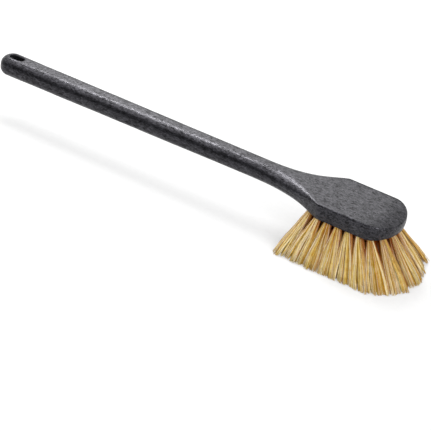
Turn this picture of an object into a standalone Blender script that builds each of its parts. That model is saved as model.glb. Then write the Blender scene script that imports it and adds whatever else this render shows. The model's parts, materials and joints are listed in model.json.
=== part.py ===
"""Long-handled cleaning brush.

One dark structural foam moulding makes both the handle and the head. Bundles of plant fibre
are folded in half, pushed into drilled holes in the head and held there by wire staples.
The handle's end points along -X and the head's nose along +X. The back of the head faces +Z,
and the trimmed tips of the bristles lie on the plane Z = 0.
"""

import math
import random

import bmesh
import bpy
from mathutils import Matrix, Vector

# Plan of the moulding, in metres, measured back from the tip of the nose
HEAD_LENGTH = 0.083
HEAD_WIDTH = 0.0695
NOSE_LENGTH = 0.0272
SHOULDER_RADIUS = 0.010
NECK_LENGTH = 0.100
NECK_WIDTH = 0.0248
GRIP_LENGTH = 0.325
GRIP_WIDTH = 0.0276
END_LENGTH = 0.013
FLARE_POWER = 2.35

# Side view of the moulding, in metres
BACK_HEIGHT = 0.0662
NOSE_DROP = 0.0036
NOSE_THICKNESS = 0.0128
HEAD_THICKNESS = 0.0188
HEEL_THICKNESS = 0.0188
NECK_THICKNESS = 0.0202
GRIP_THICKNESS = 0.0212
NECK_AXIS_DROP = 0.0101
END_AXIS_DROP = 0.0122
HEAD_EDGE_RADIUS = 0.0016
GRIP_EDGE_RADIUS = 0.0092

# Slot that the brush hangs by, in metres
SLOT_LENGTH = 0.018
SLOT_WIDTH = 0.009
SLOT_FROM_END = 0.018

# Holes that hold the tufts, in metres
HOLE_DIAMETER = 0.0066
HOLE_DEPTH = 0.0110
RIM_TO_SIDE_HOLE = 0.0078
NOSE_TO_FIRST_HOLE = 0.0120
SIDE_HOLE_PITCH = 0.0123
INNER_HOLE_PITCH = 0.0142
INNER_ROW_SPACING = 0.0176
HEEL_HOLE_SPACING = 0.0136
SHOULDER_TO_HEEL_HOLE = 0.0150
NOSE_ARC_START = 0.0340
INNER_ROW_START = 0.0285
SIDE_HOLES = 6
NOSE_HOLES_A_SIDE = 2
INNER_HOLES = 5

# Tufts: the field of tips is larger than the field of holes by the splay shares
SPLAY_CENTRE = 0.071
SPLAY_ALONG_SHARE = 0.60
SPLAY_ACROSS_SHARE = 0.80
PLUG_PROUD = 0.0024
STRAND_RINGS = (1, 5, 10)
STRAND_ROOT_RADIUS = 0.00042
STRAND_TIP_RADIUS = 0.00125
STRAND_SEAT = 0.0015
ROOT_SPREAD = 0.0022
RAGGED_LENGTH = 0.0030
TRIM_DEPTH = 0.0005
STRAND_SEED = 11

# Wire staples, in metres
WIRE_DIAMETER = 0.0009
FOLD_THICKNESS = 0.0020
LEG_BITE = 0.0030

# Clearance between pieces that touch, and how far a cutter runs past what it cuts
FIT_GAP = 0.0003
OVERRUN = 0.0040

# Facets, the angle that shows as a sharp edge, and how near points are to be welded
END_STEPS = 6
GRIP_STEPS = 4
FLARE_STEPS = 12
SHOULDER_STEPS = 3
NOSE_STEPS = 12
EDGE_STEPS = 4
SLOT_SIDES = 24
HOLE_SIDES = 12
PLUG_SIDES = 8
POCKET_SIDES = 6
STRAND_SIDES = 3
SHARP_DEGREES = 35
WELD_SHARE = 0.01

# An edge's rounding takes at most this share of the thickness, width or end it rounds
EDGE_LIMIT_SHARE = 0.46
END_LIMIT_SHARE = 0.80

HEEL_X = -HEAD_LENGTH
NECK_X = HEEL_X - NECK_LENGTH
END_X = NECK_X - GRIP_LENGTH


def mix(first, second, share):
    """Value that lies the given share of the way from the first to the second."""
    return first + (second - first) * share


def ease(share):
    """The share again, starting and stopping gently."""
    return share * share * (3 - 2 * share)


def clear_scene():
    """Remove every object that the scene starts with."""
    for item in list(bpy.data.objects):
        bpy.data.objects.remove(item)


def make_collection(name):
    """Add a collection under the scene's own."""
    collection = bpy.data.collections.new(name)
    bpy.context.scene.collection.children.link(collection)
    return collection


def make_material(name, colour, roughness, metallic):
    """Plain Principled material."""
    material = bpy.data.materials.new(name)
    material.use_nodes = True
    shader = material.node_tree.nodes["Principled BSDF"]
    shader.inputs["Base Color"].default_value = (*colour, 1.0)
    shader.inputs["Roughness"].default_value = roughness
    shader.inputs["Metallic"].default_value = metallic
    material.diffuse_color = (*colour, 1.0)
    return material


def make_object(name, mesh, collection, parent, material=None):
    """Put a mesh in the scene as a named object under the brush's frame."""
    item = bpy.data.objects.new(name, mesh)
    collection.objects.link(item)
    item.parent = parent
    if material:
        mesh.materials.append(material)
        mesh.shade_smooth()
        mesh.set_sharp_from_angle(angle=math.radians(SHARP_DEGREES))
    return item


def mark_as_cutter(item):
    """Cutters and guides show as wires and stay out of renders."""
    item.hide_render = True
    item.display_type = "WIRE"


def mesh_from(name, bm):
    """Turn a finished bmesh into mesh data."""
    mesh = bpy.data.meshes.new(name)
    bm.to_mesh(mesh)
    bm.free()
    return mesh


def add_boolean(item, name, operation, other, solver="EXACT"):
    """Boolean modifier with another object."""
    modifier = item.modifiers.new(name, "BOOLEAN")
    modifier.operation = operation
    modifier.solver = solver
    modifier.object = other


def along(start, direction, side_hint):
    """Matrix at a point with its Z along the direction and its X as near the hint as it can be."""
    z_axis = direction.normalized()
    x_axis = (side_hint - z_axis * side_hint.dot(z_axis)).normalized()
    y_axis = z_axis.cross(x_axis)
    turn = Matrix((x_axis, y_axis, z_axis)).transposed().to_4x4()
    return Matrix.Translation(start) @ turn


def add_rod(bm, frame, low, high, low_radius, high_radius, sides):
    """Closed cone or cylinder along the frame's Z, from low to high."""
    middle = Matrix.Translation((0, 0, (low + high) / 2))
    bmesh.ops.create_cone(bm, cap_ends=True, segments=sides, radius1=low_radius, radius2=high_radius,
                          depth=high - low, matrix=frame @ middle)


# Plan and side view of the moulding

def neck_share(x):
    """How far along the neck a place lies: 0 at the grip, 1 at the shoulders."""
    return min(max((x - NECK_X) / NECK_LENGTH, 0), 1)


def grip_share(x):
    """How far along the grip a place lies: 0 at the handle's end, 1 at the neck."""
    return min(max((x - END_X) / GRIP_LENGTH, 0), 1)


def nose_share(x):
    """How far along the nose a place lies: 0 where it starts, 1 at its tip."""
    return max(x / NOSE_LENGTH + 1, 0)


def half_width(x):
    """Half the width of the moulding from the grip to the start of the nose."""
    grip = mix(GRIP_WIDTH, NECK_WIDTH, grip_share(x)) / 2
    return mix(grip, HEAD_WIDTH / 2, neck_share(x) ** FLARE_POWER)


def thickness(x):
    """Thickness of the grip and of the neck before it thins into the head."""
    return mix(GRIP_THICKNESS, NECK_THICKNESS, grip_share(x))


def top_height(x):
    """Height of the upper surface, level over the head until it falls towards the nose's tip."""
    axis = BACK_HEIGHT - mix(END_AXIS_DROP, NECK_AXIS_DROP, grip_share(x))
    level = mix(axis + thickness(x) / 2, BACK_HEIGHT, ease(neck_share(x)))
    return level - NOSE_DROP * nose_share(x) ** 2


def face_height(x):
    """Height of the lower surface, which holds the bristles under the head."""
    if x > -NOSE_LENGTH:
        return BACK_HEIGHT - mix(HEAD_THICKNESS, NOSE_DROP + NOSE_THICKNESS, nose_share(x) ** 2)
    if x > HEEL_X:
        fall = (x - HEEL_X) / (HEAD_LENGTH - NOSE_LENGTH)
        return BACK_HEIGHT - mix(HEEL_THICKNESS, HEAD_THICKNESS, ease(fall))
    axis = BACK_HEIGHT - mix(END_AXIS_DROP, NECK_AXIS_DROP, grip_share(x))
    return mix(axis - thickness(x) / 2, BACK_HEIGHT - HEEL_THICKNESS, ease(neck_share(x)))


def edge_radius(x):
    """Rounding of the long edges: broad on the grip, tight round the head."""
    grip = min(GRIP_EDGE_RADIUS, EDGE_LIMIT_SHARE * min(thickness(x), NECK_WIDTH), END_LIMIT_SHARE * END_LENGTH)
    head = min(HEAD_EDGE_RADIUS, EDGE_LIMIT_SHARE * min(NOSE_THICKNESS, HEEL_THICKNESS))
    return mix(grip, head, ease(neck_share(x)))


def half_outline():
    """Half of the plan, as points from the middle of the handle's end to the tip of the nose."""
    points = []
    end_middle = END_X + END_LENGTH
    for step in range(END_STEPS + 1):
        angle = math.pi / 2 * step / END_STEPS
        x = end_middle - END_LENGTH * math.cos(angle)
        points.append((x, half_width(end_middle) * math.sin(angle)))
    for step in range(1, GRIP_STEPS + 1):
        x = mix(end_middle, NECK_X, step / GRIP_STEPS)
        points.append((x, half_width(x)))

    # The shoulder's corner is rounded by an arc that meets the flare and the straight side
    slope = FLARE_POWER * (HEAD_WIDTH - NECK_WIDTH) / 2 / NECK_LENGTH
    turn = math.atan(slope)
    reach = SHOULDER_RADIUS * math.tan(turn / 2)
    flare_end = HEEL_X - reach * math.cos(turn)
    for step in range(1, FLARE_STEPS):
        x = mix(NECK_X, flare_end, step / FLARE_STEPS)
        points.append((x, half_width(x)))
    for step in range(SHOULDER_STEPS + 1):
        angle = math.pi / 2 + turn * (1 - step / SHOULDER_STEPS)
        x = HEEL_X + reach + SHOULDER_RADIUS * math.cos(angle)
        y = HEAD_WIDTH / 2 - SHOULDER_RADIUS + SHOULDER_RADIUS * math.sin(angle)
        points.append((x, y))

    for step in range(NOSE_STEPS + 1):
        angle = math.pi / 2 * step / NOSE_STEPS
        x = NOSE_LENGTH * (math.sin(angle) - 1)
        points.append((x, HEAD_WIDTH / 2 * math.cos(angle)))
    points[0] = (END_X, 0)
    points[-1] = (0, 0)
    return points


def outward(points, place):
    """Unit normal of the half outline at one of its points."""
    before = points[place - 1] if place > 0 else (points[1][0], -points[1][1])
    after = points[place + 1] if place < len(points) - 1 else (points[-2][0], -points[-2][1])
    run = Vector((after[0] - before[0], after[1] - before[1])).normalized()
    return Vector((-run.y, run.x))


def edge_profile(x, y, normal):
    """Section of the moulding's rim at an outline point, from its back to its face."""
    radius = edge_radius(x)
    top = top_height(x)
    face = face_height(x)
    profile = []
    for step in range(EDGE_STEPS + 1):
        angle = math.pi / 2 * step / EDGE_STEPS
        inset = radius * (1 - math.sin(angle))
        profile.append((inset, top - radius * (1 - math.cos(angle))))
    for step in range(EDGE_STEPS, -1, -1):
        angle = math.pi / 2 * step / EDGE_STEPS
        inset = radius * (1 - math.sin(angle))
        profile.append((inset, face + radius * (1 - math.cos(angle))))
    return [Vector((x - normal.x * inset, y - normal.y * inset, height)) for inset, height in profile]


def make_moulding(collection, parent, material):
    """Handle and head: rim sections swept round the outline, closed by a back and a face."""
    points = half_outline()
    bm = bmesh.new()
    sides = {1: [], -1: []}
    for place, (x, y) in enumerate(points):
        profile = edge_profile(x, y, outward(points, place))
        left = [bm.verts.new(point) for point in profile]
        at_tip = place in (0, len(points) - 1)
        right = left if at_tip else [bm.verts.new((p.x, -p.y, p.z)) for p in profile]
        sides[1].append(left)
        sides[-1].append(right)

    for columns in sides.values():
        for here, there in zip(columns, columns[1:]):
            for low, high in zip(range(len(here) - 1), range(1, len(here))):
                bm.faces.new((here[low], here[high], there[high], there[low]))
    for level in (0, -1):
        for place in range(len(points) - 1):
            corners = [sides[1][place][level], sides[1][place + 1][level],
                       sides[-1][place + 1][level], sides[-1][place][level]]
            bm.faces.new(list(dict.fromkeys(corners)))
    bmesh.ops.recalc_face_normals(bm, faces=bm.faces)
    return make_object("handle_block", mesh_from("handle_block", bm), collection, parent, material)


def make_slot_cutter(collection, parent):
    """Round-ended slot through the end of the handle."""
    x = END_X + SLOT_FROM_END
    bm = bmesh.new()
    half_step = Matrix.Rotation(math.pi / SLOT_SIDES, 4, "Z")
    low = face_height(x) - OVERRUN
    high = top_height(x) + OVERRUN
    add_rod(bm, half_step, low, high, SLOT_WIDTH / 2, SLOT_WIDTH / 2, SLOT_SIDES)
    for vert in bm.verts:
        vert.co.x += math.copysign((SLOT_LENGTH - SLOT_WIDTH) / 2, vert.co.x)
    bmesh.ops.translate(bm, verts=bm.verts, vec=(x, 0, 0))
    cutter = make_object("slot_cutter", mesh_from("slot_cutter", bm), collection, parent)
    mark_as_cutter(cutter)
    return cutter


# Places of the tufts

def near_holes():
    """Name, x and y of each hole on the near side, where y is negative, and of the middle one."""
    holes = []
    for step in range(SIDE_HOLES):
        x = -NOSE_ARC_START - step * SIDE_HOLE_PITCH
        holes.append((f"side_{{}}_near_{step + 1}", x, RIM_TO_SIDE_HOLE - half_width(x)))
    for step in range(NOSE_HOLES_A_SIDE):
        angle = math.pi / 2 * (step + 1) / (NOSE_HOLES_A_SIDE + 1)
        x = -NOSE_ARC_START + (NOSE_ARC_START - NOSE_TO_FIRST_HOLE) * math.sin(angle)
        y = (RIM_TO_SIDE_HOLE - HEAD_WIDTH / 2) * math.cos(angle)
        holes.append((f"nose_{{}}_near_{step + 1}", x, y))
    holes.append(("nose_{}_middle", -NOSE_TO_FIRST_HOLE, 0))
    for step in range(INNER_HOLES):
        x = -INNER_ROW_START - step * INNER_HOLE_PITCH
        holes.append((f"inner_{{}}_near_{step + 1}", x, -INNER_ROW_SPACING / 2))
    holes.append(("heel_{}_near", HEEL_X - SHOULDER_TO_HEEL_HOLE, -HEEL_HOLE_SPACING / 2))
    return holes


def all_holes():
    """The near holes and the middle one, and each near one's mirror image on the far side."""
    holes = near_holes()
    mirrored = [(name.replace("near", "far"), x, -y) for name, x, y in holes if y < 0]
    return holes + mirrored


def hole_mouth(x, y):
    """Centre of a hole's mouth on the face of the head."""
    return Vector((x, y, face_height(x)))


def tuft_tip(x, y):
    """Middle of a tuft's trimmed end, splayed out from the middle of the head."""
    splayed_x = x + SPLAY_ALONG_SHARE * (x + SPLAY_CENTRE)
    return Vector((splayed_x, y * (1 + SPLAY_ACROSS_SHARE), 0))


def tuft_frame(x, y):
    """Matrix at the hole's mouth, its Z pointing out along the tuft and its Y across the brush."""
    mouth = hole_mouth(x, y)
    return along(mouth, tuft_tip(x, y) - mouth, Vector((1, 0, 0)))


def tip_spread():
    """Radius that the tips of a tuft fill, short of the neighbouring tufts."""
    tips = [tuft_tip(x, y) for _, x, y in all_holes()]
    nearest = min((a - b).length for i, a in enumerate(tips) for b in tips[:i])
    return nearest / 2 - STRAND_TIP_RADIUS - FIT_GAP


# Holes in the head

def leg_reach():
    """Distance of a staple's legs from the middle of its hole."""
    return HOLE_DIAMETER / 2 - WIRE_DIAMETER / 2 - 2 * FIT_GAP


def make_hole_cutter(collection, parent):
    """One drilled hole for every tuft."""
    bm = bmesh.new()
    for _, x, y in all_holes():
        add_rod(bm, tuft_frame(x, y), -HOLE_DEPTH, OVERRUN, HOLE_DIAMETER / 2, HOLE_DIAMETER / 2, HOLE_SIDES)
    cutter = make_object("hole_cutter", mesh_from("hole_cutter", bm), collection, parent)
    mark_as_cutter(cutter)
    return cutter


def make_pocket_cutter(collection, parent):
    """Two small pockets in the floor of every hole, where the staple's legs bite."""
    bm = bmesh.new()
    radius = WIRE_DIAMETER / 2 + FIT_GAP
    floor = -HOLE_DEPTH
    for _, x, y in all_holes():
        for side in (-1, 1):
            leg = tuft_frame(x, y) @ Matrix.Translation((0, side * leg_reach(), 0))
            add_rod(bm, leg, floor - LEG_BITE - FIT_GAP, floor + FIT_GAP, radius, radius, POCKET_SIDES)
    cutter = make_object("pocket_cutter", mesh_from("pocket_cutter", bm), collection, parent)
    mark_as_cutter(cutter)
    return cutter


# Staples

def staple_points():
    """Middle line of a staple, with its crown lying across the fold of the tuft."""
    reach = leg_reach()
    crown = FOLD_THICKNESS + FIT_GAP + WIRE_DIAMETER / 2 - HOLE_DEPTH
    foot = -HOLE_DEPTH - LEG_BITE
    return [(-reach, foot), (-reach, crown), (reach, crown), (reach, foot)]


def staple_mesh(name, radius, extra):
    """Bent wire of the given radius, its legs longer by the extra, as a closed mesh."""
    curve = bpy.data.curves.new(name, "CURVE")
    curve.dimensions = "3D"
    curve.bevel_depth = radius
    curve.bevel_resolution = 0
    curve.use_fill_caps = True
    line = staple_points()
    spline = curve.splines.new("POLY")
    spline.points.add(len(line) - 1)
    for place, (y, z) in enumerate(line):
        drop = extra if place in (0, len(line) - 1) else 0
        spline.points[place].co = (0, y, z - drop, 1)
    item = bpy.data.objects.new(name, curve)
    bpy.context.scene.collection.objects.link(item)
    mesh = bpy.data.meshes.new_from_object(item.evaluated_get(bpy.context.evaluated_depsgraph_get()))
    bpy.data.objects.remove(item)
    bm = bmesh.new()
    bm.from_mesh(mesh)
    bmesh.ops.remove_doubles(bm, verts=bm.verts, dist=radius * WELD_SHARE)
    bmesh.ops.recalc_face_normals(bm, faces=bm.faces)
    bm.to_mesh(mesh)
    bm.free()
    mesh.name = name
    return mesh


def make_staples(collection, parent, material):
    """One staple in every hole, all of one mesh."""
    mesh = staple_mesh("staple_wire", WIRE_DIAMETER / 2, 0)
    mesh.materials.append(material)
    for name, x, y in all_holes():
        staple = make_object(name.format("staple"), mesh, collection, parent)
        staple.matrix_local = tuft_frame(x, y)


# Tufts

def make_plug(collection, parent):
    """Folded root of a tuft, with the staple's way cut through it."""
    groove = make_object("staple_groove", staple_mesh("staple_groove", WIRE_DIAMETER / 2 + FIT_GAP, OVERRUN),
                         collection, parent)
    mark_as_cutter(groove)
    bm = bmesh.new()
    radius = HOLE_DIAMETER / 2 - FIT_GAP
    add_rod(bm, Matrix.Identity(4), FIT_GAP - HOLE_DEPTH, PLUG_PROUD, radius, radius, PLUG_SIDES)
    plug = make_object("tuft_plug", mesh_from("tuft_plug", bm), collection, parent)
    add_boolean(plug, "staple way", "DIFFERENCE", groove)
    mark_as_cutter(plug)
    return plug


def add_strand(bm, root, tip, roll, shortfall):
    """One thick strand: cut flat at Z = 0 where it is long enough, ragged where it falls short."""
    direction = (tip - root).normalized()
    trimmed = shortfall <= 0
    beyond = STRAND_TIP_RADIUS - TRIM_DEPTH / direction.z if trimmed else -STRAND_TIP_RADIUS - shortfall
    frame = along(root, direction, Vector((math.cos(roll), math.sin(roll), 0)))
    strand = bmesh.new()
    add_rod(strand, frame, 0, (tip - root).length + beyond, STRAND_ROOT_RADIUS, STRAND_TIP_RADIUS, STRAND_SIDES)
    if trimmed:
        whole = strand.verts[:] + strand.edges[:] + strand.faces[:]
        bmesh.ops.bisect_plane(strand, geom=whole, plane_co=(0, 0, 0), plane_no=(0, 0, -1), clear_outer=True)
        bmesh.ops.holes_fill(strand, edges=[edge for edge in strand.edges if edge.is_boundary])
    piece = mesh_from("strand", strand)
    bm.from_mesh(piece)
    bpy.data.meshes.remove(piece)


def strand_places():
    """Where the strands stand in a circle of radius 1, ring by ring, each ring turned half a step."""
    places = []
    for ring, count in enumerate(STRAND_RINGS):
        radius = ring / (len(STRAND_RINGS) - 1)
        for number in range(count):
            angle = math.tau * (number + 0.5) / count
            places.append(Vector((math.cos(angle), math.sin(angle), 0)) * radius)
    return places


def make_strands(name, x, y, spread, chance, collection, parent):
    """The strands of one tuft, spread evenly over its plug and over its tip."""
    frame = tuft_frame(x, y)
    centre = tuft_tip(x, y)
    bm = bmesh.new()
    for place in strand_places():
        root = frame @ (place * ROOT_SPREAD + Vector((0, 0, PLUG_PROUD - STRAND_SEAT)))
        # The frame looks down the tuft, so its Y runs against the brush's own
        tip = centre + Vector((place.x, -place.y, 0)) * spread
        shortfall = chance.uniform(-RAGGED_LENGTH, RAGGED_LENGTH)
        add_strand(bm, root, tip, chance.uniform(0, math.tau), shortfall)
    strands = make_object(name, mesh_from(name, bm), collection, parent)
    mark_as_cutter(strands)
    return strands


def make_near_tuft(name, x, y, plug_mesh, strands, collection, parent, material):
    """Plug in its hole, with the strands joined to its end. The exact solver loses one plug here."""
    mesh = plug_mesh.copy()
    mesh.name = name
    mesh.transform(tuft_frame(x, y))
    tuft = make_object(name, mesh, collection, parent, material)
    add_boolean(tuft, "strands", "UNION", strands, solver="MANIFOLD")
    return tuft


def make_far_tuft(name, near, collection, parent, material):
    """Mirror image of a near tuft, as a piece of its own."""
    mesh = bpy.data.meshes.new_from_object(near.evaluated_get(bpy.context.evaluated_depsgraph_get()))
    mesh.name = name
    mesh.transform(Matrix.Scale(-1, 4, (0, 1, 0)))
    mesh.flip_normals()
    mesh.materials.clear()
    return make_object(name, mesh, collection, parent, material)


def make_tufts(collection, cutters, parent, material):
    """Every tuft of the brush, and how far forward their tips reach."""
    plug = make_plug(cutters, parent)
    depsgraph = bpy.context.evaluated_depsgraph_get()
    plug_mesh = bpy.data.meshes.new_from_object(plug.evaluated_get(depsgraph))
    spread = tip_spread()
    chance = random.Random(STRAND_SEED)
    reach = 0
    near_tufts = []
    for name, x, y in near_holes():
        strands = make_strands(name.format("strands"), x, y, spread, chance, cutters, parent)
        reach = max([reach] + [vert.co.x for vert in strands.data.vertices])
        tuft = make_near_tuft(name.format("tuft"), x, y, plug_mesh, strands, collection, parent, material)
        near_tufts.append((tuft, y))
    for tuft, y in near_tufts:
        if y < 0:
            make_far_tuft(tuft.name.replace("near", "far"), tuft, collection, parent, material)
    return reach


def main():
    """Build the brush and centre its length on the origin."""
    clear_scene()
    parts = make_collection("cleaning_brush")
    cutters = make_collection("cutters")
    frame = bpy.data.objects.new("brush_frame", None)
    parts.objects.link(frame)

    foam = make_material("charcoal structural foam", (0.050, 0.050, 0.055), 0.55, 0.0)
    fibre = make_material("tampico fibre", (0.640, 0.400, 0.150), 0.60, 0.0)
    steel = make_material("staple wire", (0.560, 0.550, 0.530), 0.35, 1.0)

    moulding = make_moulding(parts, frame, foam)
    add_boolean(moulding, "hanging slot", "DIFFERENCE", make_slot_cutter(cutters, frame))
    add_boolean(moulding, "tuft holes", "DIFFERENCE", make_hole_cutter(cutters, frame))
    add_boolean(moulding, "staple pockets", "DIFFERENCE", make_pocket_cutter(cutters, frame))
    make_staples(parts, frame, steel)
    reach = make_tufts(parts, cutters, frame, fibre)
    frame.location.x = -(reach + END_X) / 2


main()
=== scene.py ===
"""Looks of a long-handled cleaning brush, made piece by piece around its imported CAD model.

Lengths are in metres. The brush lies along X with its nose towards +X, the back of its head faces +Z,
and the trimmed ends of its bristles stand on Z = 0. Places on the brush are measured from the tip of
its nose and then moved to where the CAD model has it.
"""

import json
import math

import bmesh
import bpy
import numpy as np
from mathutils import Matrix, Vector, noise

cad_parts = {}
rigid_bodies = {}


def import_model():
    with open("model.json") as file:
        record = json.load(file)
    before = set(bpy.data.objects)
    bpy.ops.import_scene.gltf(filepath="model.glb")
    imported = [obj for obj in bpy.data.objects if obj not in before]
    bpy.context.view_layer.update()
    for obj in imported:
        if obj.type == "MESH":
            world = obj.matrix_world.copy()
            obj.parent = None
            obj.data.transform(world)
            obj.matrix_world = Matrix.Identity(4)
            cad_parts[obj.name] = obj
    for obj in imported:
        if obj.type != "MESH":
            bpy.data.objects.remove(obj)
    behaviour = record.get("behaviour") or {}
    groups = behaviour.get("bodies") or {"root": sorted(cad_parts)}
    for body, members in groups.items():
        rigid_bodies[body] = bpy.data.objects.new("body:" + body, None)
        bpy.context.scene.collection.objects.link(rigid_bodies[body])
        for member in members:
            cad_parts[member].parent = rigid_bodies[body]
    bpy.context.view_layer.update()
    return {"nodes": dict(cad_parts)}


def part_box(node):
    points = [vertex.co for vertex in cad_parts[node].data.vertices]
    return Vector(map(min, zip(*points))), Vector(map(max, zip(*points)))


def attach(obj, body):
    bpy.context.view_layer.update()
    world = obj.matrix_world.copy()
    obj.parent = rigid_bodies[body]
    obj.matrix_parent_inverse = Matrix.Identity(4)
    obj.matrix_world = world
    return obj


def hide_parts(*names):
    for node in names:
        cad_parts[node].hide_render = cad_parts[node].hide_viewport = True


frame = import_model()

# Handle and head: one moulding in charcoal structural foam. The plastic is blown into a cold mould, so
# a solid skin forms that the gas swirls and specks, over a core of fine bubbles. The slot at its end
# is moulded in, and the holes for the tufts are drilled afterwards.

HEAD_LENGTH = 0.083
HEAD_WIDTH = 0.0697
NOSE_LENGTH = 0.0272
SHOULDER_RADIUS = 0.010
NECK_LENGTH = 0.100
NECK_WIDTH = 0.0251
GRIP_LENGTH = 0.3258
GRIP_WIDTH = 0.0279
END_LENGTH = 0.013
FLARE_POWER = 2.10
NOSE_DROP = 0.0036
NOSE_THICKNESS = 0.0128
HEAD_THICKNESS = 0.0188
HEEL_THICKNESS = 0.0188
NECK_THICKNESS = 0.0207
GRIP_THICKNESS = 0.0218
NECK_AXIS_DROP = 0.0100
END_AXIS_DROP = 0.0120
HEAD_EDGE_RADIUS = 0.0017
GRIP_EDGE_RADIUS = 0.0094
NECK_EDGE_SPREAD = 0.0050
EDGE_POWER = 3
CROWN_HEIGHT = 0.00045
WALL_BULGE = 0.0005
WALL_DRAFT = 0.0008
SLOT_LENGTH = 0.018
SLOT_WIDTH = 0.009
SLOT_FROM_END = 0.0184
SLOT_RIM = 0.0009
OVERRUN = 0.004

# A foamed skin isn't quite flat: it sinks and swells by this much over this distance, about a level
# that lies under the mould's surface by this share of it
SINK_HEIGHT = 0.00016
SINK_LENGTH = 0.024
SINK_LEVEL_SHARE = 0.5

END_STEPS = 18
GRIP_STEPS = 64
FLARE_STEPS = 40
SHOULDER_STEPS = 8
HEAD_STEPS = 12
NOSE_STEPS = 36
EDGE_STEPS = 9
WALL_STEPS = 4
ACROSS_STEPS = 8
SLOT_SIDES = 48
SHARP_DEGREES = 38

NOSE_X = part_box("handle_block")[1].x
BACK_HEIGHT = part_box("handle_block")[1].z
HEEL_X = -HEAD_LENGTH
NECK_X = HEEL_X - NECK_LENGTH
END_X = NECK_X - GRIP_LENGTH


def mix(first, second, share):
    """Value that lies the given share of the way from the first to the second."""
    return first + (second - first) * share


def ease(share):
    """The share again, starting and stopping gently."""
    return share * share * (3 - 2 * share)


def neck_share(x):
    """How far along the neck a place lies: 0 at the grip, 1 at the shoulders."""
    return min(max((x - NECK_X) / NECK_LENGTH, 0), 1)


def grip_share(x):
    """How far along the grip a place lies: 0 at the handle's end, 1 at the neck."""
    return min(max((x - END_X) / GRIP_LENGTH, 0), 1)


def nose_share(x):
    """How far along the nose a place lies: 0 where it starts, 1 at its tip."""
    return max(x / NOSE_LENGTH + 1, 0)


def half_width(x):
    """Half the width of the moulding from the grip to the start of the nose."""
    grip = mix(GRIP_WIDTH, NECK_WIDTH, grip_share(x)) / 2
    return mix(grip, HEAD_WIDTH / 2, neck_share(x) ** FLARE_POWER)


def axis_and_thickness(x):
    """Height of the handle's middle line, and its thickness, before it joins the head."""
    drop = mix(END_AXIS_DROP, NECK_AXIS_DROP, grip_share(x))
    return BACK_HEIGHT - drop, mix(GRIP_THICKNESS, NECK_THICKNESS, grip_share(x))


def top_height(x):
    """Height of the upper surface, level over the head until it falls towards the nose's tip."""
    axis, thickness = axis_and_thickness(x)
    return mix(axis + thickness / 2, BACK_HEIGHT, ease(neck_share(x))) - NOSE_DROP * nose_share(x) ** 2


def face_height(x):
    """Height of the lower surface, which holds the bristles under the head."""
    if x > -NOSE_LENGTH:
        return BACK_HEIGHT - mix(HEAD_THICKNESS, NOSE_DROP + NOSE_THICKNESS, nose_share(x) ** 2)
    if x > HEEL_X:
        fall = (x - HEEL_X) / (HEAD_LENGTH - NOSE_LENGTH)
        return BACK_HEIGHT - mix(HEEL_THICKNESS, HEAD_THICKNESS, ease(fall))
    axis, thickness = axis_and_thickness(x)
    return mix(axis - thickness / 2, BACK_HEIGHT - HEEL_THICKNESS, ease(neck_share(x)))


def moulding_outline():
    """Half of the plan, as points from the middle of the handle's end to the tip of the nose."""
    points = []
    end_middle = END_X + END_LENGTH
    for step in range(END_STEPS + 1):
        angle = math.pi / 2 * step / END_STEPS
        points.append((end_middle - END_LENGTH * math.cos(angle), half_width(end_middle) * math.sin(angle)))
    for step in range(1, GRIP_STEPS + 1):
        x = mix(end_middle, NECK_X, step / GRIP_STEPS)
        points.append((x, half_width(x)))
    turn = math.atan(FLARE_POWER * (HEAD_WIDTH - NECK_WIDTH) / 2 / NECK_LENGTH)
    reach = SHOULDER_RADIUS * math.tan(turn / 2)
    for step in range(1, FLARE_STEPS):
        x = mix(NECK_X, HEEL_X - reach * math.cos(turn), step / FLARE_STEPS)
        points.append((x, half_width(x)))
    for step in range(SHOULDER_STEPS + 1):
        angle = math.pi / 2 + turn * (1 - step / SHOULDER_STEPS)
        x = HEEL_X + reach + SHOULDER_RADIUS * math.cos(angle)
        points.append((x, HEAD_WIDTH / 2 - SHOULDER_RADIUS * (1 - math.sin(angle))))
    for step in range(1, HEAD_STEPS):
        points.append((mix(HEEL_X + reach, -NOSE_LENGTH, step / HEAD_STEPS), HEAD_WIDTH / 2))
    for step in range(NOSE_STEPS + 1):
        angle = math.pi / 2 * step / NOSE_STEPS
        points.append((NOSE_LENGTH * (math.sin(angle) - 1), HEAD_WIDTH / 2 * math.cos(angle)))
    points[0] = (END_X, 0)
    points[-1] = (0, 0)
    return points


def rim_section(points, place):
    """The rim at one outline point, from the back's edge round to the face's edge."""
    x, y = points[place]
    before = points[place - 1] if place > 0 else (points[1][0], -points[1][1])
    after = points[place + 1] if place < len(points) - 1 else (points[-2][0], -points[-2][1])
    run = Vector((after[0] - before[0], after[1] - before[1])).normalized()
    share = neck_share(x)
    radius = mix(GRIP_EDGE_RADIUS, HEAD_EDGE_RADIUS, ease(share ** EDGE_POWER))
    spread = radius + NECK_EDGE_SPREAD * ease(min(share, 1 - share) * 2)
    draft = WALL_DRAFT * ease(share)
    section = []
    for height, way in ((top_height(x), -1), (face_height(x), 1)):
        rounding = []
        for step in range(EDGE_STEPS + 1):
            angle = math.pi / 2 * step / EDGE_STEPS
            inset = spread * (1 - math.sin(angle)) if way < 0 else radius * (1 - math.sin(angle)) + draft
            z = height + way * radius * (1 - math.cos(angle))
            rounding.append(Vector((x + run.y * inset, y - run.x * inset, z)))
        section += rounding if way < 0 else rounding[::-1]

    # The head's wall leans in towards the face and bulges a little between its two edges
    upper, lower = section[EDGE_STEPS], section[EDGE_STEPS + 1]
    bulge = Vector((-run.y, run.x, 0)) * (WALL_BULGE * ease(share))
    parts = [step / WALL_STEPS for step in range(1, WALL_STEPS)]
    wall = [upper.lerp(lower, part) + bulge * (4 * part * (1 - part)) for part in parts]
    return section[:EDGE_STEPS + 1] + wall + section[EDGE_STEPS + 1:]


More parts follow.
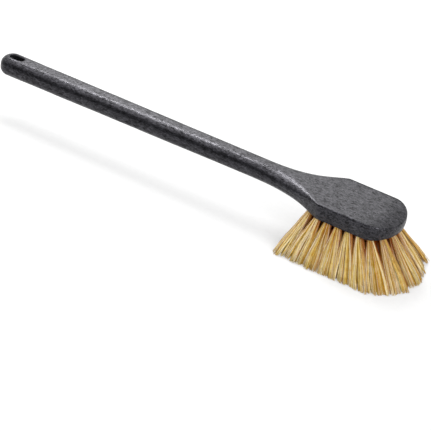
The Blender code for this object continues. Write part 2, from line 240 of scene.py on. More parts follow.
def close_between(bm, left_rims, right_rims, place):
    """Strips of faces from the left rims to the right ones, at one place of their sections."""
    strips = []
    for left, right in zip(left_rims, right_rims):
        first, last = left[place], right[place]
        if first is last:
            strips.append([first] * (ACROSS_STEPS + 1))
            continue
        shares = [step / ACROSS_STEPS for step in range(1, ACROSS_STEPS)]
        strips.append([first, *[bm.verts.new(first.co.lerp(last.co, share)) for share in shares], last])

    # The strips close in a point at the handle's end and the nose's tip, where faces have three corners
    for here, there in zip(strips, strips[1:]):
        for step in range(ACROSS_STEPS):
            corners = (here[step], here[step + 1], there[step + 1], there[step])
            bm.faces.new(list(dict.fromkeys(corners)))
    return strips


def make_moulding():
    """Rim sections swept round the outline, closed by strips across the back and the face."""
    points = moulding_outline()
    bm = bmesh.new()
    left_rims, right_rims = [], []
    for place in range(len(points)):
        section = rim_section(points, place)
        left_rims.append([bm.verts.new(point) for point in section])
        if place in (0, len(points) - 1):
            right_rims.append(left_rims[-1])
        else:
            right_rims.append([bm.verts.new((point.x, -point.y, point.z)) for point in section])
    for rims in (left_rims, right_rims):
        for here, there in zip(rims, rims[1:]):
            for step in range(len(here) - 1):
                bm.faces.new((here[step], here[step + 1], there[step + 1], there[step]))
    back = close_between(bm, left_rims, right_rims, 0)
    close_between(bm, left_rims, right_rims, -1)
    crown = {vert: CROWN_HEIGHT * (2 * vert.co.y / HEAD_WIDTH) ** 2 for strip in back for vert in strip}
    bmesh.ops.recalc_face_normals(bm, faces=bm.faces)
    bm.normal_update()
    for vert in bm.verts:
        vert.co.z -= crown.get(vert, 0)
        sink = noise.noise(vert.co / SINK_LENGTH) - SINK_LEVEL_SHARE
        vert.co += vert.normal * (SINK_HEIGHT * sink)
    mesh = bpy.data.meshes.new("handle_and_head")
    bm.to_mesh(mesh)
    bm.free()
    return mesh


def make_slot_cutter():
    """Round-ended slot, opened at 45 degrees where it meets the handle's upper and lower surface."""
    middle = END_X + SLOT_FROM_END
    low, high = face_height(middle), top_height(middle)
    levels = [(low - OVERRUN, SLOT_RIM), (low, SLOT_RIM), (low + SLOT_RIM, 0),
              (high - SLOT_RIM, 0), (high, SLOT_RIM), (high + OVERRUN, SLOT_RIM)]
    bm = bmesh.new()
    rings = []
    for height, grown in levels:
        radius = SLOT_WIDTH / 2 + grown
        ring = []
        for side in range(SLOT_SIDES):
            angle = math.tau * (side + 0.5) / SLOT_SIDES
            shift = math.copysign((SLOT_LENGTH - SLOT_WIDTH) / 2, math.cos(angle))
            along = middle + shift + radius * math.cos(angle)
            ring.append(bm.verts.new((along, radius * math.sin(angle), height)))
        rings.append(ring)
    for here, there in zip(rings, rings[1:]):
        for side in range(SLOT_SIDES):
            after = (side + 1) % SLOT_SIDES
            bm.faces.new((here[side], here[after], there[after], there[side]))
    bm.faces.new(rings[0][::-1])
    bm.faces.new(rings[-1])
    bmesh.ops.recalc_face_normals(bm, faces=bm.faces)
    mesh = bpy.data.meshes.new("slot_cutter")
    bm.to_mesh(mesh)
    bm.free()
    return mesh


# Where the holes are drilled, and which way. The staples and tufts of the next sections sit in them.

HOLE_DIAMETER = 0.0066
HOLE_DEPTH = 0.0110
DRILL_SIDES = 28
SIDE_TUFTS = 6
INNER_TUFTS = 5
NOSE_ARC_PARTS = 3
RIM_TO_SIDE_HOLE = 0.0078
NOSE_TO_FIRST_HOLE = 0.0120
SIDE_HOLE_PITCH = 0.0123
INNER_HOLE_PITCH = 0.0142
INNER_ROW_SPACING = 0.0176
HEEL_HOLE_SPACING = 0.0136
SHOULDER_TO_HEEL_HOLE = 0.0150
NOSE_ARC_START = 0.0340
INNER_ROW_START = 0.0285
SPLAY_CENTRE = 0.071
SPLAY_ALONG_SHARE = 0.60
SPLAY_ACROSS_SHARE = 0.80


def all_holes():
    """Name, x and y of every hole. The far side mirrors the near side, where y is negative."""
    near = []
    for step in range(SIDE_TUFTS):
        x = -NOSE_ARC_START - step * SIDE_HOLE_PITCH
        near.append((f"side_tuft_near_{step + 1}", x, RIM_TO_SIDE_HOLE - half_width(x)))
    for step in range(1, NOSE_ARC_PARTS):
        angle = math.pi / 2 * step / NOSE_ARC_PARTS
        x = -NOSE_ARC_START + (NOSE_ARC_START - NOSE_TO_FIRST_HOLE) * math.sin(angle)
        near.append((f"nose_tuft_near_{step}", x, (RIM_TO_SIDE_HOLE - HEAD_WIDTH / 2) * math.cos(angle)))
    for step in range(INNER_TUFTS):
        x = -INNER_ROW_START - step * INNER_HOLE_PITCH
        near.append((f"inner_tuft_near_{step + 1}", x, -INNER_ROW_SPACING / 2))
    near.append(("heel_tuft_near", HEEL_X - SHOULDER_TO_HEEL_HOLE, -HEEL_HOLE_SPACING / 2))
    far = [(name.replace("near", "far"), x, -y) for name, x, y in near]
    return near + far + [("nose_tuft_middle", -NOSE_TO_FIRST_HOLE, 0)]


def tuft_line(x, y):
    """Mouth of a hole on the head's face, and the middle of its tuft's trimmed end."""
    mouth = Vector((x, y, face_height(x)))
    return mouth, Vector((x + SPLAY_ALONG_SHARE * (x + SPLAY_CENTRE), y * (1 + SPLAY_ACROSS_SHARE), 0))


def make_hole_cutter():
    """A drill's body in every hole."""
    bm = bmesh.new()
    for _, x, y in all_holes():
        mouth, tip = tuft_line(x, y)
        way = (tip - mouth).normalized()
        middle = Matrix.Translation(mouth + way * (OVERRUN - HOLE_DEPTH) / 2)
        turn = way.to_track_quat("Z", "Y").to_matrix().to_4x4()
        bmesh.ops.create_cone(bm, cap_ends=True, segments=DRILL_SIDES, depth=HOLE_DEPTH + OVERRUN,
                              radius1=HOLE_DIAMETER / 2, radius2=HOLE_DIAMETER / 2, matrix=middle @ turn)
    mesh = bpy.data.meshes.new("hole_cutter")
    bm.to_mesh(mesh)
    bm.free()
    return mesh


def put_in_scene(name, data, place=(0, 0, 0)):
    """Object of a mesh, a lamp or a camera, linked to the scene."""
    item = bpy.data.objects.new(name, data)
    item.location = place
    bpy.context.scene.collection.objects.link(item)
    return item


def linear(colour):
    """An sRGB hex colour, such as "#8a5a22", as the linear colour that a shader takes."""
    parts = [int(colour[place:place + 2], 16) / 255 for place in (1, 3, 5)]
    return (*[part / 12.92 if part <= 0.04045 else ((part + 0.055) / 1.055) ** 2.4 for part in parts], 1)


def add(tree, kind, sockets=None, **settings):
    """Add a node with its settings. A socket is given a value, or is linked to another node's output."""
    node = tree.nodes.new(kind)
    for name, value in settings.items():
        setattr(node, name, value)
    for name, value in (sockets or {}).items():
        if isinstance(value, bpy.types.NodeSocket):
            tree.links.new(value, node.inputs[name])
        else:
            node.inputs[name].default_value = value
    return node


def new_material(name):
    """A new material, its node tree and its Principled shader."""
    material = bpy.data.materials.new(name)
    material.use_nodes = True
    shader = material.node_tree.nodes["Principled BSDF"]
    return material, material.node_tree, shader


def set_ramp(node, stops):
    """Give a colour ramp its stops, each a place and an sRGB hex colour."""
    ramp = node.color_ramp
    while len(ramp.elements) < len(stops):
        ramp.elements.new(0.5)
    for element, (place, colour) in zip(ramp.elements, stops):
        element.position = place
        element.color = linear(colour)


# Charcoal structural foam, moulded and left as it comes out: near black, with a satin skin that greys at
# a slant. Light catches it in pale specks about 2 mm wide, drawn out to 4 mm along the handle, and in
# swirls about 14 mm across, over a fine grain of 0.7 mm.

SWIRL_SIZE = 0.014
SPECK_SIZE = 0.0019
SPECK_STRETCH = 0.45
GRAIN_SIZE = 0.0007
SPECK_SHARE = 0.84
GRAIN_SHARE = 0.2

foam, tree, shader = new_material("moulded structural foam")
place = add(tree, "ShaderNodeTexCoord").outputs["Object"]
drawn_out = add(tree, "ShaderNodeMapping", {"Vector": place, "Scale": (SPECK_STRETCH, 1.0, 1.0)})
swirl = add(tree, "ShaderNodeTexNoise", {"Vector": place, "Scale": 1 / SWIRL_SIZE, "Detail": 3.0,
                                         "Distortion": 1.4})
speck = add(tree, "ShaderNodeTexNoise", {"Vector": drawn_out.outputs["Vector"], "Scale": 1 / SPECK_SIZE,
                                         "Detail": 3.0, "Roughness": 0.7, "Distortion": 1.2})
grain = add(tree, "ShaderNodeTexNoise", {"Vector": place, "Scale": 1 / GRAIN_SIZE, "Detail": 2.0})
blend = add(tree, "ShaderNodeMath", {0: speck.outputs["Fac"], 1: SPECK_SHARE}, operation="MULTIPLY")
blend = add(tree, "ShaderNodeMath", {0: swirl.outputs["Fac"], 1: 1 - SPECK_SHARE, 2: blend.outputs[0]},
            operation="MULTIPLY_ADD")
tint = add(tree, "ShaderNodeValToRGB", {"Fac": blend.outputs[0]})
set_ramp(tint, [(0.36, "#0b0b0c"), (0.48, "#101012"), (0.58, "#1a1a1d"), (0.70, "#38383d")])
sheen = add(tree, "ShaderNodeMapRange", {"Value": blend.outputs[0], "From Min": 0.36, "From Max": 0.64,
                                         "To Min": 0.06, "To Max": 0.72})
gloss = add(tree, "ShaderNodeMapRange", {"Value": blend.outputs[0], "From Min": 0.35, "From Max": 0.65,
                                         "To Min": 0.42, "To Max": 0.32})
relief = add(tree, "ShaderNodeMath", {0: grain.outputs["Fac"], 1: GRAIN_SHARE, 2: blend.outputs[0]},
             operation="MULTIPLY_ADD")
bump = add(tree, "ShaderNodeBump", {"Height": relief.outputs[0], "Strength": 0.5, "Distance": 0.0003})
tree.links.new(tint.outputs["Color"], shader.inputs["Base Color"])
tree.links.new(sheen.outputs["Result"], shader.inputs["Specular IOR Level"])
tree.links.new(gloss.outputs["Result"], shader.inputs["Roughness"])
tree.links.new(bump.outputs["Normal"], shader.inputs["Normal"])
shader.inputs["IOR"].default_value = 1.49
shader.inputs["Specular Tint"].default_value = linear("#f6f3ff")

moulding = put_in_scene("handle_and_head", make_moulding())
for name, mesh in (("slot_cutter", make_slot_cutter()), ("hole_cutter", make_hole_cutter())):
    cutter = put_in_scene(name, mesh)
    cut = moulding.modifiers.new(name, "BOOLEAN")
    cut.operation = "DIFFERENCE"
    cut.solver = "EXACT"
    cut.object = cutter
finished = bpy.data.meshes.new_from_object(moulding.evaluated_get(bpy.context.evaluated_depsgraph_get()))
moulding.modifiers.clear()
moulding.data = finished
for cutter in [item for item in bpy.data.objects if item.name.endswith("_cutter")]:
    bpy.data.objects.remove(cutter)
finished.shade_smooth()
finished.set_sharp_from_angle(angle=math.radians(SHARP_DEGREES))
weighted = moulding.modifiers.new("flat faces stay flat", "WEIGHTED_NORMAL")
weighted.keep_sharp = True
moulding.location = (NOSE_X, 0, 0)
finished.materials.clear()
finished.materials.append(foam)
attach(moulding, "root")
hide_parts("handle_block")

# Staples: drawn steel wire, cut and bent in the machine that sets the tufts. Each one's crown holds a
# tuft's fold at the bottom of its hole, and its legs bite into the foam below.

# Drawn steel: a bright grey with the fine marks, about 0.1 mm apart, that the die leaves. The staples sit
# out of sight inside the tufts, so the marks keep that size.

MARK_SPACING = 0.0001

wire, tree, shader = new_material("drawn steel wire")
place = add(tree, "ShaderNodeTexCoord").outputs["Object"]
marks = add(tree, "ShaderNodeTexNoise", {"Vector": place, "Scale": 1 / MARK_SPACING, "Detail": 1.0})
grey = add(tree, "ShaderNodeValToRGB", {"Fac": marks.outputs["Fac"]})
set_ramp(grey, [(0.3, "#a9a69f"), (0.7, "#c9c6bf")])
dull = add(tree, "ShaderNodeMapRange", {"Value": marks.outputs["Fac"], "To Min": 0.25, "To Max": 0.40})
tree.links.new(grey.outputs["Color"], shader.inputs["Base Color"])
tree.links.new(dull.outputs["Result"], shader.inputs["Roughness"])
shader.inputs["Metallic"].default_value = 1.0
for name, node in frame["nodes"].items():
    if "staple" in name:
        node.data.materials.clear()
        node.data.materials.append(wire)

# Tufts: bundles of tampico, a stiff straw-coloured leaf fibre, folded in half and stapled into the
# holes. Each fans out as it leaves its hole, its fibres cling together in locks, and the whole brush
# is trimmed level afterwards, which leaves the ends a little ragged.

FIBRES = 380
LOCKS = 46
FIBRE_SEED = 7
FIBRE_ROOT_RADIUS = 0.00019
FIBRE_TIP_RADIUS = 0.00031
FIBRE_SIDES = 3
FIBRE_STEPS = 8
STEP_POWER = 1.35
BUNDLE_RADIUS = 0.0031
FOLD_TO_FLOOR = 0.0004
CROWN_HALF_WIDTH = 0.0009
CROWN_FROM_FLOOR = 0.0034

# How far a tuft's ends fan out. The nose's tufts don't all fan out alike. The side tufts' ends reach
# out to a line along the brush, and the rear ones' stop at a line across it.
FAN_ALONG_ROW = 0.0124
FAN_OUTWARD = 0.0075
FAN_OUTWARD_OF = {"nose_tuft_far_1": 0.0112, "nose_tuft_near_2": 0.0092, "nose_tuft_far_2": 0.0058,
                  "nose_tuft_middle": 0.0084}
FAN_INWARD = 0.0110
FAN_POWER = 1.28
INNER_FAN_POWER = 3.2
SIDE_TIP_LINE = 0.0555
REAR_TIP_LINE = -0.1195
SQUARENESS = 5

# How the fibres cling in locks and stray from them. The tightness is a share of the way to the lock's
# middle, the stray share one of the fibres, and the rest are shares of the tuft's radius.
LOCKS_SHARE = 0.92
TIGHTNESS_SHARE = 0.40
ROOT_JITTER_SHARE = 0.03
LOCK_JITTER_SHARE = 0.08
FIBRE_JITTER_SHARE = 0.04
STRAY_SHARE = 0.03
STRAY_REACH_SHARE = 1.12

# How ragged the trimmed ends are, as shares of the fibres and of their length
RAGGED_SHARE = 0.008
SHORT_FIBRES_SHARE = 0.08
SHORT_BY_SHARE = 0.10

# The gentle wave of a combed fibre, which differs from lock to lock and a little from fibre to fibre
WAVE_HEIGHT = 0.00036
WAVE_LENGTH = 0.034
WAVE_LEAST_SHARE = 0.6
WAVE_RANGE_SHARE = 0.8
WAVE_GROWS_SHARE = 0.5
WAVE_PHASE_JITTER = 0.5

# Tone from 0, golden straw, to 1, cream, and amber from 0, none, upwards. The amber is mostly painted
# shade: it grows towards a tuft's inner side and its flanks, and lies over the tufts inside and at the heel.
# A part of the fibres has some extra amber of their own. The amber shows in full at the hole, as painted
# shade there, and less from a share of their length onwards.
LOCK_TONES = (0.44, 0.88)
FIBRE_TONE_JITTER = 0.24
MIDDLE_AMBER_SHADE = 0.35
AMBER_SHADE_TOWARDS_INSIDE = 1.3
AMBER_SHADE_TOWARDS_SIDES = 0.9
LEAST_AMBER_SHADE = 0.12
AMBER_SHARE = 0.33
EXTRA_AMBER = (0.4, 1.4)
INNER_TUFT_AMBER_SHADE = 1.5
HEEL_TUFT_AMBER_SHADE = 0.35
AMBER_AND_SHADE_AT_TIPS = 0.38
HOLE_SHADE_SHARE = 0.62
IN_HOLE_SHARE = 0.12

GOLDEN_ANGLE = math.pi * (3 - math.sqrt(5))

# A direction that no fibre runs along, to turn the sides of its tube by
ACROSS_FIBRES = (0.3, 1.0, 0.2)


def even_disc(count):
    """Points spread evenly over a circle of radius 1."""
    number = np.arange(count)
    radius = np.sqrt((number + 0.5) / count)
    return np.stack([radius * np.cos(number * GOLDEN_ANGLE), radius * np.sin(number * GOLDEN_ANGLE)], axis=1)


def squared(points):
    """Points of a circle pushed outwards until they fill a square with rounded corners."""
    angle = np.arctan2(points[:, 1], points[:, 0])
    grown = (np.abs(np.cos(angle)) ** SQUARENESS + np.abs(np.sin(angle)) ** SQUARENESS) ** (-1 / SQUARENESS)
    return points * grown[:, None]


def fibres_in_locks(chance):
    """Places of the fibres in a tuft's hole and at its trimmed end, on a radius of 1, and their locks."""
    root = even_disc(FIBRES) + chance.normal(0, ROOT_JITTER_SHARE, (FIBRES, 2))
    locks = even_disc(LOCKS) * LOCKS_SHARE
    lock = np.argmin(np.linalg.norm(root[:, None] - locks[None], axis=2), axis=1)
    end = squared(root + (locks[lock] - root) * TIGHTNESS_SHARE)
    end = end + chance.normal(0, LOCK_JITTER_SHARE, (LOCKS, 2))[lock]
    end = end + chance.normal(0, FIBRE_JITTER_SHARE, (FIBRES, 2))
    end[chance.random(FIBRES) < STRAY_SHARE] *= STRAY_REACH_SHARE
    return root, end, lock


def fibre_colours(name, root, lock, chance):
    """Tone of each fibre of a tuft, and how amber it is, painted shade included."""
    tone = chance.uniform(*LOCK_TONES, LOCKS)[lock] + chance.normal(0, FIBRE_TONE_JITTER, FIBRES)
    # Painted shade: amber grows towards the tuft's inner side and its flanks, which lie in shade
    fibre_amber_and_shade = MIDDLE_AMBER_SHADE - AMBER_SHADE_TOWARDS_INSIDE * root[:, 1] + AMBER_SHADE_TOWARDS_SIDES * np.abs(root[:, 0])
    fibre_amber_and_shade = np.clip(fibre_amber_and_shade, LEAST_AMBER_SHADE, 1)
    fibre_amber_and_shade += (chance.random(FIBRES) < AMBER_SHARE) * chance.uniform(*EXTRA_AMBER, FIBRES)
    # Painted shade: the tufts inside and at the heel stand in shade, so all their fibres are amber
    if "inner" in name:
        fibre_amber_and_shade[:] = INNER_TUFT_AMBER_SHADE
    if "heel" in name:
        fibre_amber_and_shade += HEEL_TUFT_AMBER_SHADE
    return np.clip(tone, 0, 1), fibre_amber_and_shade


def tuft_fibres(name, x, y, chance):
    """Middle lines of a tuft's fibres, with the tone of each and how amber it is, painted shade included."""
    mouth, tip = (np.array(point) for point in tuft_line(x, y))
    way = (tip - mouth) / np.linalg.norm(tip - mouth)
    turn = math.asin(min(max((x + NOSE_ARC_START) / (NOSE_ARC_START - NOSE_TO_FIRST_HOLE), 0), 1))
    outward = np.array([math.sin(turn), math.copysign(math.cos(turn), y), 0])
    along_row = np.array([-outward[1], outward[0], 0])

    root, end, lock = fibres_in_locks(chance)
    short = np.abs(chance.normal(0, RAGGED_SHARE, FIBRES))
    short += np.abs(chance.normal(0, RAGGED_SHARE, LOCKS))[lock]
    short += (chance.random(FIBRES) < SHORT_FIBRES_SHARE) * chance.uniform(0, SHORT_BY_SHARE, FIBRES)
    phase = chance.uniform(0, math.tau, (LOCKS, 2))[lock]
    phase = phase + chance.normal(0, WAVE_PHASE_JITTER, (FIBRES, 2))
    height = WAVE_HEIGHT * (WAVE_LEAST_SHARE + WAVE_RANGE_SHARE * chance.random((FIBRES, 1)))

    # Fibres beside the staple's crown reach the floor of the hole, and those over it stop on it
    over_crown = np.abs(root[:, 0] * BUNDLE_RADIUS) < CROWN_HALF_WIDTH
    depth = np.where(over_crown, HOLE_DEPTH - CROWN_FROM_FLOOR, HOLE_DEPTH - FOLD_TO_FLOOR)
    reach = FAN_OUTWARD_OF.get(name, FAN_OUTWARD)
    if "side" in name:
        reach = max(reach, SIDE_TIP_LINE - abs(tip[1]))
    fan_out = np.where(end[:, 1:] > 0, reach, FAN_INWARD) * end[:, 1:] * outward
    root_place = BUNDLE_RADIUS * (root[:, :1] * along_row + root[:, 1:] * outward)
    tip_place = FAN_ALONG_ROW * end[:, :1] * along_row + fan_out
    squeeze = min(1, (tip[0] - REAR_TIP_LINE) / FAN_ALONG_ROW)
    tip_place[:, 0] *= np.where(tip_place[:, 0] < 0, squeeze, 1)

    # The tufts inside are pressed together under the face, and fan out sooner than those round them
    power = INNER_FAN_POWER if "inner" in name or "heel" in name else FAN_POWER

    lines = np.zeros((FIBRES, FIBRE_STEPS + 1, 3))
    lines[:, 0] = mouth - way * depth[:, None] + root_place
    for step in range(FIBRE_STEPS):
        share = (step / (FIBRE_STEPS - 1)) ** STEP_POWER * (1 - short)[:, None]
        fan = 1 - (1 - share) ** power
        travel = share * np.linalg.norm(tip - mouth)
        grown = ease(np.clip(share / WAVE_GROWS_SHARE, 0, 1))
        wave = height * np.sin(travel / WAVE_LENGTH * math.tau + phase) * grown
        lines[:, step + 1] = (mouth + (tip - mouth) * share + root_place * (1 - fan) + tip_place * fan
                              + wave[:, :1] * along_row + wave[:, 1:] * outward)
    return lines, *fibre_colours(name, root, lock, chance)


def fibre_mesh(name, lines, tone, fibre_amber_and_shade):
    """Three-sided tapered tubes along the lines, closed at both ends, storing tone, amber and painted shade.
    """
    count, steps = lines.shape[:2]
    run = lines[:, -1] - lines[:, 1]
    run = run / np.linalg.norm(run, axis=1, keepdims=True)
    side = np.cross(run, np.array(ACROSS_FIBRES))
    side = side / np.linalg.norm(side, axis=1, keepdims=True)
    other = np.cross(run, side)
    radius = np.linspace(FIBRE_ROOT_RADIUS, FIBRE_TIP_RADIUS, steps)
    angles = math.tau * np.arange(FIBRE_SIDES) / FIBRE_SIDES
    ring = side[:, None] * np.cos(angles)[None, :, None] + other[:, None] * np.sin(angles)[None, :, None]
    points = lines[:, :, None] + ring[:, None] * radius[None, :, None, None]

    # The rim of an end would dip under the level that the brush is trimmed to
    points[..., 2] = np.maximum(points[..., 2], 0)

    number = np.arange(count * steps * FIBRE_SIDES).reshape(count, steps, FIBRE_SIDES)
    after = np.roll(number, -1, axis=2)
    quads = np.stack([number[:, :-1], after[:, :-1], after[:, 1:], number[:, 1:]], axis=-1).reshape(-1, 4)
    caps = np.concatenate([number[:, 0, ::-1], number[:, -1]])
    mesh = bpy.data.meshes.new(name)
    mesh.from_pydata(points.reshape(-1, 3).tolist(), [], quads.tolist() + caps.tolist())

    # Painted shade of the hole: amber shows in full at the hole, and fades to a share of that before the
    # trimmed end
    along = np.linspace(-IN_HOLE_SHARE, 1, steps)
    depth = AMBER_AND_SHADE_AT_TIPS + (1 - AMBER_AND_SHADE_AT_TIPS) * np.clip(1 - along / HOLE_SHADE_SHARE, 0, 1)
    amber_and_painted_shade = np.minimum(fibre_amber_and_shade[:, None, None] * depth[None, :, None] * np.ones(FIBRE_SIDES), 1)
    for label, values in (("tone", np.repeat(tone, steps * FIBRE_SIDES)), ("amber_and_painted_shade", amber_and_painted_shade.ravel())):
        stored = mesh.attributes.new(label, "FLOAT", "POINT")
        stored.data.foreach_set("value", values.astype(np.float32))
    mesh.shade_smooth()
    return mesh


# Tampico, dried and combed: straw to cream with a dull natural shine. A third of the fibres are amber to
# brown of their own, and amber to brown is also painted shade on a tuft's inner side and towards its hole,
# and over the tufts inside and at the heel. Real fibres are about 0.3 mm across, finer than the render
# shows, so these are up to twice that. Each is mottled over about 6 mm.

MOTTLE_LENGTH = 0.006
MOTTLE_TONE = 0.12
LIGHT_THROUGH_SHARE = 0.3

fibre, tree, shader = new_material("combed tampico fibre")
place = add(tree, "ShaderNodeTexCoord").outputs["Object"]
tone = add(tree, "ShaderNodeAttribute", attribute_name="tone")
amber_and_painted_shade = add(tree, "ShaderNodeAttribute", attribute_name="amber_and_painted_shade")
mottle = add(tree, "ShaderNodeTexNoise", {"Vector": place, "Scale": 1 / MOTTLE_LENGTH, "Detail": 2.0})
mottle = add(tree, "ShaderNodeMapRange", {"Value": mottle.outputs["Fac"], "From Min": 0.3, "From Max": 0.7,
                                          "To Min": -MOTTLE_TONE, "To Max": MOTTLE_TONE})
shade = add(tree, "ShaderNodeMath", {0: tone.outputs["Fac"], 1: mottle.outputs["Result"]}, operation="ADD")
straw = add(tree, "ShaderNodeValToRGB", {"Fac": shade.outputs[0]})
set_ramp(straw, [(0.0, "#c48410"), (0.30, "#e4bf4c"), (0.60, "#f2de90"), (1.0, "#fff6d6")])
# Painted shade: deep orange-brown for fibres inside the tufts and in the gaps between them
amber_shade_ramp = add(tree, "ShaderNodeValToRGB", {"Fac": amber_and_painted_shade.outputs["Fac"]})
set_ramp(amber_shade_ramp, [(0.3, "#c46c00"), (1.0, "#a04400")])
tint = add(tree, "ShaderNodeMixRGB", {"Fac": amber_and_painted_shade.outputs["Fac"], "Color1": straw.outputs["Color"],
                                      "Color2": amber_shade_ramp.outputs["Color"]})
glow = add(tree, "ShaderNodeBsdfTranslucent", {"Color": tint.outputs["Color"]})
through = add(tree, "ShaderNodeMixShader", {0: LIGHT_THROUGH_SHARE, 1: shader.outputs[0], 2: glow.outputs[0]})
tree.links.new(tint.outputs["Color"], shader.inputs["Base Color"])
tree.links.new(through.outputs[0], tree.nodes["Material Output"].inputs["Surface"])
shader.inputs["Roughness"].default_value = 0.5
shader.inputs["IOR"].default_value = 1.5
shader.inputs["Specular IOR Level"].default_value = 0.08

chance = np.random.default_rng(FIBRE_SEED)
for name, x, y in all_holes():
    mesh = fibre_mesh(name, *tuft_fibres(name, x, y, chance))
    mesh.materials.append(fibre)
    tuft = put_in_scene(name.replace("tuft", "bristles"), mesh, (NOSE_X, 0, 0))
    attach(tuft, "root")
    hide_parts(name)

# Studio: the brush stands on its bristles on a white floor, in the light of four soft boxes and of
# white walls all round. The walls in front of it are dark in reflections, which keeps the near side of
# the foam dark. The floor fades out between two distances from its middle.

FLOOR_SIZE = 2.4
FLOOR_GAP = 0.0002
FLOOR_GRAIN = 0.006
FLOOR_LIFT = 0.42
FADE_START = 0.45
FADE_END = 1.1


def looked_at(tree):
    """Light path node, and 1 for what the eye sees straight, in a reflection or through something."""
    ray = add(tree, "ShaderNodeLightPath")
    seen = add(tree, "ShaderNodeMath", {0: ray.outputs["Is Camera Ray"], 1: ray.outputs["Is Glossy Ray"]},
               operation="MAXIMUM")
    seen = add(tree, "ShaderNodeMath", {0: seen.outputs[0], 1: ray.outputs["Is Transmission Ray"]},
               operation="MAXIMUM")
    return ray, seen.outputs[0]


# White floor: it shows as white with a soft shadow on it. It fades into the white round it, and is left
# out where it is seen from below.
paper, tree, shader = new_material("matt white paper")
tree.nodes.remove(shader)
fleck = add(tree, "ShaderNodeTexNoise", {"Scale": FLOOR_SIZE / FLOOR_GRAIN})
white = add(tree, "ShaderNodeValToRGB", {"Fac": fleck.outputs["Fac"]})
set_ramp(white, [(0.0, "#a6a6a6"), (1.0, "#adadad")])
matt = add(tree, "ShaderNodeBsdfDiffuse", {"Color": white.outputs["Color"]})
ray, seen = looked_at(tree)
lift = add(tree, "ShaderNodeMath", {0: seen, 1: FLOOR_LIFT}, operation="MULTIPLY")
glow = add(tree, "ShaderNodeEmission", {"Color": linear("#ffffff"), "Strength": lift.outputs[0]})
both = add(tree, "ShaderNodeAddShader", {0: matt.outputs[0], 1: glow.outputs[0]})
clear = add(tree, "ShaderNodeBsdfTransparent")
under = add(tree, "ShaderNodeNewGeometry")
spot = add(tree, "ShaderNodeTexCoord").outputs["Object"]
away = add(tree, "ShaderNodeVectorMath", {0: spot}, operation="LENGTH")
fade = add(tree, "ShaderNodeMapRange", {"Value": away.outputs["Value"], "From Min": FADE_START,
                                        "From Max": FADE_END})
left_out = add(tree, "ShaderNodeMath", {0: fade.outputs["Result"], 1: under.outputs["Backfacing"]},
               operation="MAXIMUM")
shown = add(tree, "ShaderNodeMixShader", {0: left_out.outputs[0], 1: both.outputs[0], 2: clear.outputs[0]})
tree.links.new(shown.outputs[0], tree.nodes["Material Output"].inputs["Surface"])

half = FLOOR_SIZE / 2
corners = [(-half, -half, 0), (half, -half, 0), (half, half, 0), (-half, half, 0)]
sheet = bpy.data.meshes.new("floor")
sheet.from_pydata(corners, [], [(0, 1, 2, 3)])
sheet.materials.append(paper)
floor = put_in_scene("floor", sheet, (0, 0, -FLOOR_GAP))

# White walls: they give light at one plain level, and are full white where they are seen

WALL_LEVEL = 0.72
WAY_TO_FRONT = (-0.35, -0.935, -0.05)

world = bpy.data.worlds.new("white studio walls")
bpy.context.scene.world = world
world.use_nodes = True
tree = world.node_tree
ray, seen = looked_at(tree)
level = add(tree, "ShaderNodeMapRange", {"Value": seen, "To Min": WALL_LEVEL, "To Max": 1.0})
way = add(tree, "ShaderNodeTexCoord").outputs["Generated"]
front = add(tree, "ShaderNodeVectorMath", {0: way, 1: WAY_TO_FRONT}, operation="DOT_PRODUCT")
front = add(tree, "ShaderNodeMapRange", {"Value": front.outputs["Value"], "From Min": 0.35, "From Max": 0.95},
            interpolation_type="SMOOTHSTEP")
unseen = add(tree, "ShaderNodeMath", {0: front.outputs["Result"], 1: ray.outputs["Is Glossy Ray"]},
             operation="MULTIPLY")
level = add(tree, "ShaderNodeMath", {0: level.outputs["Result"], 1: unseen.outputs[0]}, operation="SUBTRACT")
tree.links.new(level.outputs[0], tree.nodes["Background"].inputs["Strength"])
tree.nodes["Background"].inputs["Color"].default_value = linear("#ffffff")

# Soft boxes: a small one close behind the brush, and three wide ones further off

LAMP_AIM_HEIGHT = 0.05


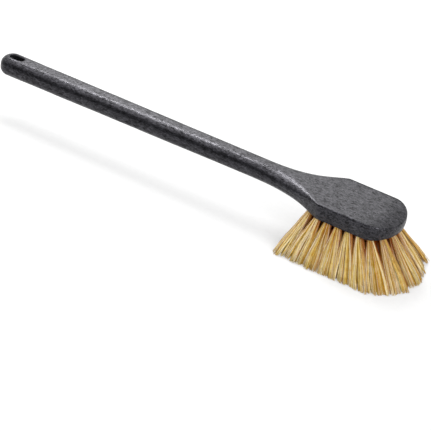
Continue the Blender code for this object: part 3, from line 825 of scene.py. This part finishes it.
def soft_box(name, azimuth, elevation, distance, wide, tall, power, aim=0.0):
    """Area light aimed at a place along the brush. Its direction is in degrees, 0 on the near side."""
    turn, rise = math.radians(azimuth), math.radians(elevation)
    way = Vector((math.sin(turn) * math.cos(rise), -math.cos(turn) * math.cos(rise), math.sin(rise)))
    lamp = bpy.data.lights.new(name, "AREA")
    lamp.shape = "RECTANGLE"
    lamp.size, lamp.size_y = wide, tall
    lamp.energy = power
    item = put_in_scene(name, lamp, Vector((aim, 0, LAMP_AIM_HEIGHT)) + way * distance)
    item.rotation_euler = way.to_track_quat("Z", "Y").to_euler()


soft_box("key_soft_box", azimuth=226, elevation=56, distance=0.9, wide=0.25, tall=0.5, power=7.8, aim=-0.06)
soft_box("front_soft_box", azimuth=50, elevation=25, distance=2.0, wide=1.5, tall=1.5, power=31)
soft_box("back_soft_box", azimuth=208, elevation=33, distance=2.0, wide=0.9, tall=0.9, power=4.9)
soft_box("top_soft_box", azimuth=306, elevation=60, distance=2.0, wide=1.2, tall=1.2, power=10)

# Camera: a long lens, a little above the brush and to its nose's side, turned slightly so that the
# handle runs across the frame from the upper left.

CAMERA_AZIMUTH = 28.33
CAMERA_ELEVATION = 31.70
CAMERA_ROLL = 7.78
CAMERA_DISTANCE = 3.0
CAMERA_LENS = 232.4
AIM_FROM_NOSE = Vector((-0.2180, 0, -0.0889))

turn, rise, roll = (math.radians(angle) for angle in (CAMERA_AZIMUTH, CAMERA_ELEVATION, CAMERA_ROLL))
back = Vector((math.sin(turn) * math.cos(rise), -math.cos(turn) * math.cos(rise), math.sin(rise)))
right = Vector((math.cos(turn), math.sin(turn), 0))
up = back.cross(right)
tilted_right = right * math.cos(roll) + up * math.sin(roll)
tilted_up = up * math.cos(roll) - right * math.sin(roll)
stand = Vector((NOSE_X, 0, BACK_HEIGHT)) + AIM_FROM_NOSE + back * CAMERA_DISTANCE
facing = Matrix((tilted_right, tilted_up, back)).transposed().to_4x4()
camera = put_in_scene("camera", bpy.data.cameras.new("camera"))
camera.data.lens = CAMERA_LENS
camera.matrix_world = Matrix.Translation(stand) @ facing
bpy.context.scene.camera = camera
bpy.context.scene.view_settings.view_transform = "Standard"
